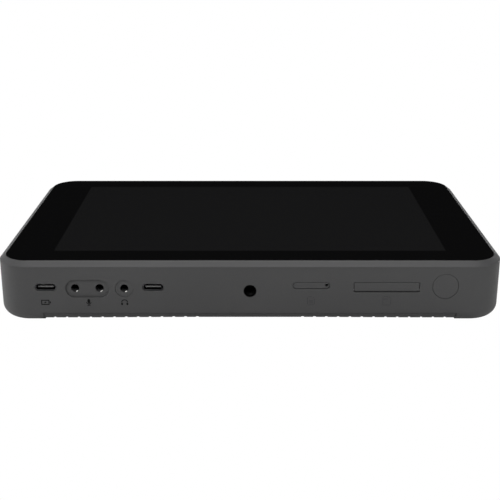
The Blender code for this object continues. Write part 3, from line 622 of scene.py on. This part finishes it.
def headphones_sign(centre):
    """A headband over two ear pads."""
    band = ribbon(arc((0.0, -0.15), 1.3, 12, 168, 16), 0.42)
    pads = [slot(0.8, 1.2, (sx * 1.15, -0.7), 6) for sx in (-1, 1)]
    return [moved(outline, centre) for outline in (band, *pads)]


def card_frame(width, height, cut_off):
    """The outline of a card with one corner cut off, as a path."""
    half_w, half_h = width / 2, height / 2
    return [
        (-half_w, half_h), (-half_w, -half_h), (half_w, -half_h), (half_w, half_h - cut_off),
        (half_w - cut_off, half_h),
    ]


def card_sign(card, bars):
    """A card's edge in strips, with bars for its contacts."""
    line = 0.34
    corners = card_frame(*CARD_SIGN_SIZE[card], 0.9)
    centre = (CARD_SIGN_X[card], CARD_SIGN_Z)
    strips = []
    for start, end in zip(corners, corners[1:] + corners[:1]):
        a, b = Vector(start), Vector(end)
        trim = (b - a).normalized() * (line * 0.6)
        strips.append(ribbon([tuple(a + trim), tuple(b - trim)], line))
    return [moved(outline, centre) for outline in (*strips, *bars)]


def all_signs():
    sim_bars = [rectangle((-0.9, 0.9), (z - 0.16, z + 0.16)) for z in (-1.0, -0.4, 0.2)]
    memory_bars = [rectangle((x - 0.17, x + 0.17), (0.35, 1.25)) for x in (-1.1, -0.5, 0.1)]
    return {
        "sign_battery": battery_sign((SIGN_X["battery"], SIGN_Z)),
        "sign_microphone": mic_sign((SIGN_X["mic"], SIGN_Z)),
        "sign_headphones": headphones_sign((SIGN_X["headphones"], SIGN_Z)),
        "sign_sim_card": card_sign("sim", sim_bars),
        "sign_memory_card": card_sign("memory", memory_bars),
    }


SIGNS = all_signs()


def make_signs():
    """Ink in each engraved sign, just under the face."""
    for name, outlines in SIGNS.items():
        ink = [prism(outline, "xz", (FRONT + INK_DEEP, FRONT + SIGN_DEEP)) for outline in outlines]
        finish = "faint_sign" if "card" in name else "dark_sign"
        add_piece(name, gathered(ink), finish)


# ---------------------------------------------------------------- casing


def cover_sink(x):
    """How far the cover's surface lies inside the housing's, at a distance from the middle."""
    distance = abs(x)
    for (near, at_near), (far, at_far) in zip(COVER_ARCH, COVER_ARCH[1:]):
        if distance <= far:
            share = max(distance - near, 0.0) / (far - near)
            return at_near + share * (at_far - at_near)
    return COVER_ARCH[-1][1]


def cover_section(sink):
    """The cover's section across Y-Z: a shallow trough with round lower corners."""
    radius = BOTTOM_R - sink
    height = BASE + BOTTOM_R
    lift = math.degrees(math.asin((height - COVER_TOP) / radius))
    outside = arc((FRONT + BOTTOM_R, height), radius, 180 + lift, 270, ROUND_STEPS)
    outside += arc((BACK - BOTTOM_R, height), radius, 270, 360 - lift, ROUND_STEPS)
    return outside + [
        (BACK - LIP_Y[0], COVER_TOP), (BACK - LIP_Y[0], COVER.z1), (BACK - LIP_Y[1], COVER.z1),
        (BACK - LIP_Y[1], COVER_FLOOR), (FRONT + LIP_Y[1], COVER_FLOOR),
        (FRONT + LIP_Y[1], COVER.z1), (FRONT + LIP_Y[0], COVER.z1), (FRONT + LIP_Y[0], COVER_TOP),
    ]


def groove_centres():
    right = [FIRST_GROOVE + k * RIB_PITCH for k in range(GROOVES_A_SIDE)]
    return [-x for x in reversed(right)] + right


def make_cover():
    """The ribbed saddle, with its grooves, the fan's inlet slots and the screw seats."""
    right = [station[0] for station in COVER_ARCH]
    stations = [-x for x in reversed(right)] + right
    bm = loft([raise_outline(cover_section(cover_sink(x)), "yz", x) for x in stations])
    half = GROOVE_W / 2
    below, above = BASE - CLEAR, COVER_FLOOR + 0.5
    bm = cut(bm, [
        box((x - half, x + half), (FRONT - CLEAR, BACK + CLEAR), (below, GROOVE_TOP))
        for x in groove_centres()
    ])
    holes = []
    for x in groove_centres():
        reach = FAN_INLET_R**2 - (x - FAN.x) ** 2
        if reach > SHORTEST_INLET**2:
            outline = rounded_rect(INLET_W, 2 * math.sqrt(reach), 0.4, 4, (x, FAN.y))
            holes.append(prism(outline, "xy", (below, above)))
    screws = [Extent(f"cover_screw_{k}") for k in (1, 2, 3, 4)]
    holes += [prism(circle(SCREW_HOLE_R, 24, (s.x, s.y)), "xy", (below, above)) for s in screws]
    bm = cut(bm, holes)
    surface = BASE + cover_sink(0.0)
    rim_r = SCREW_SEAT_R + SCREW_FLARE
    bm = cut(bm, [
        skin([(circle(rim_r, 32, (s.x, s.y)), below), (circle(rim_r, 32, (s.x, s.y)), surface),
              (circle(SCREW_SEAT_R, 32, (s.x, s.y)), surface + SCREW_FLARE),
              (circle(SCREW_SEAT_R, 32, (s.x, s.y)), s.z0 + SCREW_SEAT_DEEP)], "xy")
        for s in screws
    ])
    add_piece("ribbed_cover", bm, "housing", nodes=["bottom_cover"])


def make_bezel():
    """The chamfered rim, its two crisp edges just broken."""
    edge = 0.12
    slope = CHAMFER_H / CHAMFER_IN
    under = RIM_Z + 0.1
    profile = [
        (edge, under), (0.0, under + edge), (0.0, BEZEL_EDGE_Z - edge),
        (edge, BEZEL_EDGE_Z + edge * slope), (CHAMFER_IN - edge, TOP - edge * slope),
        (CHAMFER_IN + edge * 0.6, TOP), (CHAMFER_IN + 0.15, TOP - edge),
        (CHAMFER_IN + 0.15, GLASS.z0 - 0.55), (LEDGE_IN, GLASS.z0 - 0.55),
        (LEDGE_IN, GLASS.z0 - 1.95), (WALL + 1.6, GLASS.z0 - 1.95), (WALL + 1.6, BEZEL.z0),
        (WALL + 0.2, BEZEL.z0), (WALL + 0.2, under),
    ]
    bm = loft([body_loop(*pair) for pair in profile], closed=True)
    # Its grey is lighter than the housing's: painted light on the chamfer.
    add_piece("bezel_rim", bm, "bezel", nodes=["top_bezel"], sharp=25.0)


def make_glass():
    inset = GLASS.x0 - HOUSING.x0
    edge = 0.15
    profile = [(inset, GLASS.z0), (inset, TOP - edge)]
    profile += [
        (inset + edge * (1 - math.cos(math.radians(a))), TOP - edge + edge * math.sin(math.radians(a)))
        for a in (22.5, 45.0, 67.5, 90.0)
    ]
    bm = loft([body_loop(*pair) for pair in profile])
    add_piece("glass_front", bm, "glass", nodes=["cover_glass"], sharp=40.0)


def make_feet():
    for end in ("front", "back"):
        for side in ("left", "right"):
            foot = Extent(f"foot_{end}_{side}")
            rings = []
            for inset, z in ((0.9, 0.0), (0.5, 0.06), (0.2, 0.25), (0.0, 0.6), (0.0, foot.z1)):
                size = (foot.width - 2 * inset, foot.depth - 2 * inset)
                rings.append((slot(*size, (foot.x, foot.y), 12), z))
            add_piece(f"rubber_foot_{end}_{side}", skin(rings, "xy"), "rubber",
                      nodes=[f"foot_{end}_{side}"])


def make_cover_screws():
    """Pan heads with a six-point drive recess."""
    for k in (1, 2, 3, 4):
        screw = Extent(f"cover_screw_{k}")
        spot = (screw.x, screw.y)
        head_r, shank_r = screw.width / 2, 1.2
        rings = [(head_r - 0.5, 0.0), (head_r - 0.15, 0.12), (head_r, 0.4), (head_r, 1.0),
                 (shank_r, 1.0), (shank_r, screw.height - 0.5), (0.5, screw.height)]
        bm = skin([(circle(r, 32, spot), screw.z0 + z) for r, z in rings], "xy")
        star = []
        for n in range(24):
            angle = n * math.tau / 24
            radius = 1.05 + 0.17 * math.cos(6 * angle)
            star.append((spot[0] + radius * math.cos(angle), spot[1] + radius * math.sin(angle)))
        bm = cut(bm, [prism(star, "xy", (screw.z0 - 1.0, screw.z0 + 0.75))])
        add_piece(f"cover_screw_body_{k}", bm, "dark_metal", nodes=[f"cover_screw_{k}"])


# ---------------------------------------------------------------- ports


def make_usb_ports():
    """A drawn shell with a rolled mouth, and a tongue with a row of contacts on each side."""
    for use in ("power", "data"):
        shell = Extent(f"usb_c_{use}_shell")
        centre = (shell.x, shell.z)
        wall = 0.3
        outer, inner = (shell.width, shell.height), (shell.width - 2 * wall, shell.height - 2 * wall)
        y = shell.y0
        rings = [
            (slot(*inner, centre, 10), shell.y1 - 0.6), (slot(*inner, centre, 10), y + 0.15),
            (slot(inner[0] + 0.18, inner[1] + 0.18, centre, 10), y + 0.03),
            (slot(outer[0] - 0.14, outer[1] - 0.14, centre, 10), y),
            (slot(*outer, centre, 10), y + 0.12), (slot(*outer, centre, 10), shell.y1),
        ]
        add_piece(f"usb_c_{use}_can", skin(rings, "xz"), "dark_metal",
                  nodes=[f"usb_c_{use}_shell"])

        tongue = Extent(f"usb_c_{use}_tongue")
        half_w, half_h = tongue.width / 2, tongue.height / 2
        nose = 0.2
        rings = [
            (rounded_rect(tongue.width - 0.5, tongue.height - 0.3, 0.1, 3, centre), tongue.y0),
            (rounded_rect(tongue.width, tongue.height, 0.2, 3, centre), tongue.y0 + nose),
            (rounded_rect(tongue.width, tongue.height, 0.2, 3, centre), tongue.y1),
        ]
        add_piece(f"usb_c_{use}_blade", skin(rings, "xz"), "tongue",
                  nodes=[f"usb_c_{use}_tongue"])
        pitch, thick = 0.5, 0.04
        pads = []
        for k in range(12):
            x = centre[0] + (k - 5.5) * pitch
            for face in (-1, 1):
                z = sorted((centre[1] + face * (half_h + 0.005), centre[1] + face * (half_h + thick)))
                pads.append(box((x - 0.13, x + 0.13), (tongue.y0 + 0.5, tongue.y1 - 1.0), z))
        if half_w > 6 * pitch:
            add_piece(f"usb_c_{use}_contacts", gathered(pads), "contact")


def make_jacks():
    """A moulded block with a nose, and a pale leaf low in each bore: a painted glint."""
    for use in ("line_in", "mic", "headphone"):
        jack = Extent(f"{use}_jack")
        centre = (jack.x, jack.z)
        nose_r = JACK_HOLE_R - SLEEVE
        mouth = jack.y0
        body_y = FRONT + WALL + 0.3
        block = box((jack.x0, jack.x1), (body_y, jack.y1), (jack.z0, jack.z1))
        nose = skin([(circle(nose_r, 40, centre), mouth), (circle(nose_r, 40, centre), body_y + 0.5)],
                    "xz")
        bm = joined(block, [nose])
        bm = cut(bm, [prism(circle(JACK_BORE_R, 40, centre), "xz", (FRONT - CLEAR, jack.y1 - 1.0))])
        add_piece(f"{use}_socket", bm, "connector", nodes=[f"{use}_jack"])

        # The pale leaf at the lower right of the bore is a painted glint.
        (start, end), (inner, outer) = GLINT_LEAF_ANGLES, GLINT_LEAF_R
        strip = arc(centre, outer, start, end, 8) + arc(centre, inner, end, start, 8)
        leaf = prism(strip, "xz", (mouth + 0.02, mouth + 0.3))
        add_piece(f"{use}_painted_glint_contact", leaf, "painted_glint")


def make_tripod_insert():
    """A bush with a real helical thread of the standard pitch down its bore."""
    bush = Extent("tripod_insert")
    centre = (bush.x, bush.z)
    minor, major = THREAD_R
    sides, per_pitch = 48, 8
    deep = bush.depth - 1.2
    rows = int(deep / THREAD_PITCH * per_pitch)
    loops = []
    for row in range(rows, -1, -1):
        y = bush.y0 + 0.35 + (deep - 0.35) * row / rows
        loop = []
        for k in range(sides):
            turn = k / sides
            phase = (y / THREAD_PITCH - turn) % 1.0
            radius = minor + (major - minor) * (1 - abs(2 * phase - 1))
            angle = turn * math.tau
            loop.append((centre[0] + radius * math.cos(angle), y, centre[1] + radius * math.sin(angle)))
        loops.append(loop)
    outer_r = bush.width / 2
    nose_r = THREAD_NOSE_R - SLEEVE
    for radius, y in ((minor, bush.y0), (minor, FRONT + 0.08), (nose_r, FRONT + 0.05),
                      (nose_r, bush.y0), (outer_r - 0.2, bush.y0), (outer_r, bush.y0 + 0.2),
                      (outer_r, bush.y1)):
        loops.append(raise_outline(circle(radius, sides, centre), "xz", y))
    add_piece("threaded_bush", loft(loops), "blackened", nodes=["tripod_insert"],
              sharp=50.0)


def make_sim_tray():
    """The tray's face with a broken edge, its card window and the eject hole."""
    tray = Extent("sim_tray")
    face_z = (tray.z0 + tray.z1) / 2
    centre = (tray.x, face_z)
    edge = 0.15
    size = (tray.width - 0.1, tray.height - 0.1)
    face = skin([
        (slot(size[0] - 2 * edge, size[1] - 2 * edge, centre, 10), tray.y0),
        (slot(*size, centre, 10), tray.y0 + edge), (slot(*size, centre, 10), FRONT + 1.7),
    ], "xz")
    slab = box((tray.x - SIM_SLAB_HALF, tray.x + SIM_SLAB_HALF), (FRONT + 1.2, tray.y1),
               (face_z - 0.5, face_z + 0.5))
    bm = joined(face, [slab])
    pin = (tray.x + SIM_PIN[0], face_z + SIM_PIN[1])
    bm = cut(bm, [
        prism(circle(SIM_PIN_R, 24, pin), "xz", (FRONT - CLEAR, FRONT + 3.0)),
        box((tray.x - SIM_CARD_HALF, tray.x + SIM_CARD_HALF), (FRONT + 5.0, FRONT + 17.3),
            (face_z - CLEAR, face_z + CLEAR)),
    ])
    add_piece("sim_tray_drawer", bm, "housing", "sim_tray_body", ["sim_tray"])


def make_sd_door():
    """The flap, with its round heel about the hinge line and softened ends."""
    door = Extent("sd_door")
    pin = Extent("sd_door_pin")
    y, z = pin.y, pin.z
    half_t = door.depth / 2
    top = door.z1
    edge = 0.2

    def section(shrink):
        outer = arc((y, z), half_t - shrink, 180, 360, 16)
        return outer + [
            (y + half_t - shrink, top - 1.0), (y, top - shrink),
            (y - half_t + edge + shrink, top - shrink), (y - half_t + shrink, top - edge - shrink),
        ]

    rings = [(section(edge), door.x0), (section(0.0), door.x0 + edge),
             (section(0.0), door.x1 - edge), (section(edge), door.x1)]
    bm = skin(rings, "yz")
    bm = cut(bm, [prism(circle(0.5, 20, (y, z)), "yz", (door.x0 - 3.0, door.x1 + 3.0))])
    add_piece("memory_card_flap", bm, "housing", "sd_door_body", ["sd_door"])


def make_power_button():
    """A round cap, very slightly dished, with the flange that keeps it in."""
    button = Extent("power_button")
    centre = (button.x, button.z)
    behind = FRONT + WALL + 0.3
    dish = 0.12
    rings = [(0.6, button.y0 + dish), (2.2, button.y0 + dish * 0.9), (3.8, button.y0 + dish * 0.6),
             (BUTTON_R - 0.45, button.y0 + 0.02), (BUTTON_R - 0.15, button.y0 + 0.03),
             (BUTTON_R, button.y0 + 0.2), (BUTTON_R, behind), (BUTTON_R + 0.7, behind),
             (BUTTON_R + 0.7, behind + 0.7), (1.5, behind + 0.7), (1.5, behind + 1.2)]
    bm = skin([(circle(radius, 72, centre), y) for radius, y in rings], "xz")
    add_piece("power_button_cap", bm, "housing", "power_button_body", ["power_button"])


def finish_frame_nodes():
    """Every carried-over CAD node gets its slot's finish."""
    slots = {part["node"]: part["material_slot"] for part in frame["record"]["subparts"]}
    for name, node in frame["nodes"].items():
        node.data.materials.clear()
        node.data.materials.append(FINISH[slots[name]])


# ---------------------------------------------------------------- floor, light and camera


FLOOR_HALF = 30.0
FLOOR_BOUNCE = (0.78, 0.82)


def make_floor():
    """A wide floor, evenly white to the camera and matt to the lights."""
    material = bpy.data.materials.new("floor_finish")
    material.use_nodes = True
    tree = material.node_tree
    tree.nodes.clear()
    coords = add_node(tree, "ShaderNodeTexCoord")
    drift = noise(tree, coords, 3.0)
    bounce = ranged(tree, (drift, "Fac"), *FLOOR_BOUNCE)
    matt = add_node(tree, "ShaderNodeBsdfDiffuse", {"Color": (bounce, "Result")})
    white = add_node(tree, "ShaderNodeEmission", {"Strength": 1.0})
    path = add_node(tree, "ShaderNodeLightPath")
    mix = add_node(tree, "ShaderNodeMixShader", {
        0: (path, "Is Camera Ray"), 1: (matt, "BSDF"), 2: (white, "Emission"),
    })
    add_node(tree, "ShaderNodeOutputMaterial", {"Surface": (mix, 0)})
    mesh = bpy.data.meshes.new("floor")
    corners = rectangle((-FLOOR_HALF, FLOOR_HALF), (-FLOOR_HALF, FLOOR_HALF))
    mesh.from_pydata([(x, y, 0.0) for x, y in corners], [], [(0, 1, 2, 3)])
    mesh.materials.append(material)
    floor = bpy.data.objects.new("floor", mesh)
    bpy.context.scene.collection.objects.link(floor)


# name: (where the light comes from, strength, angular size in degrees, whether gloss shows it)
SUNS = {
    "key": ((-0.1, -0.8, 1.0), 2.6, 35.0, True),
    "left": ((-0.93, 0.38, 0.01), 12.5, 35.0, False),
    "right": ((0.8, 0.85, 0.2), 5.4, 30.0, False),
    "back": ((0.0, 0.5, 1.0), 0.5, 25.0, True),
}
SKY_DARK = 0.004
SKY_START, SKY_END = 0.7, 0.95
SKY_STRENGTH = 0.3


def make_lights():
    for name, (source, strength, size, glossy) in SUNS.items():
        light = bpy.data.lights.new(f"{name}_light", "SUN")
        light.energy = strength
        light.angle = math.radians(size)
        obj = bpy.data.objects.new(f"{name}_light", light)
        obj.visible_glossy = glossy
        obj.rotation_mode = "QUATERNION"
        obj.rotation_quaternion = Vector(source).to_track_quat("Z", "Y")
        bpy.context.scene.collection.objects.link(obj)


def make_world():
    """A pale backdrop for the camera. For light and reflections, only the zenith is bright."""
    world = bpy.data.worlds.new("studio")
    world.use_nodes = True
    tree = world.node_tree
    tree.nodes.clear()
    coords = add_node(tree, "ShaderNodeTexCoord")
    up = add_node(tree, "ShaderNodeSeparateXYZ", {"Vector": (coords, "Generated")})
    sky = ranged(tree, (up, "Z"), SKY_DARK, SKY_STRENGTH, SKY_START, SKY_END)
    lit = add_node(tree, "ShaderNodeBackground", {"Strength": (sky, "Result")})
    seen = add_node(tree, "ShaderNodeBackground", {"Strength": 1.0})
    for shader in (lit, seen):
        shader.inputs["Color"].default_value = (1.0, 1.0, 1.0, 1.0)
    path = add_node(tree, "ShaderNodeLightPath")
    mix = add_node(tree, "ShaderNodeMixShader", {
        0: (path, "Is Camera Ray"), 1: (lit, "Background"), 2: (seen, "Background"),
    })
    add_node(tree, "ShaderNodeOutputWorld", {"Surface": (mix, 0)})
    bpy.context.scene.world = world


CAMERA_AHEAD = 391.25
CAMERA_ABOVE = 165.93
CAMERA_PITCH = 18.76
CAMERA_LENS = 70.41


def make_camera():
    data = bpy.data.cameras.new("camera")
    data.sensor_width = 36.0
    data.lens = CAMERA_LENS
    data.clip_start, data.clip_end = 0.01, 200.0
    camera = bpy.data.objects.new("camera", data)
    camera.location = (0.0, (FRONT - CAMERA_AHEAD) * MM, (BASE + CAMERA_ABOVE) * MM)
    camera.rotation_euler = (math.radians(90.0 - CAMERA_PITCH), 0.0, 0.0)
    bpy.context.scene.collection.objects.link(camera)
    bpy.context.scene.camera = camera


def main():
    finish_frame_nodes()
    make_housing()
    make_signs()
    make_cover()
    make_bezel()
    make_glass()
    make_feet()
    make_cover_screws()
    make_usb_ports()
    make_jacks()
    make_tripod_insert()
    make_sim_tray()
    make_sd_door()
    make_power_button()
    make_floor()
    make_lights()
    make_world()
    make_camera()
    bpy.context.scene.view_settings.view_transform = "Standard"


main()
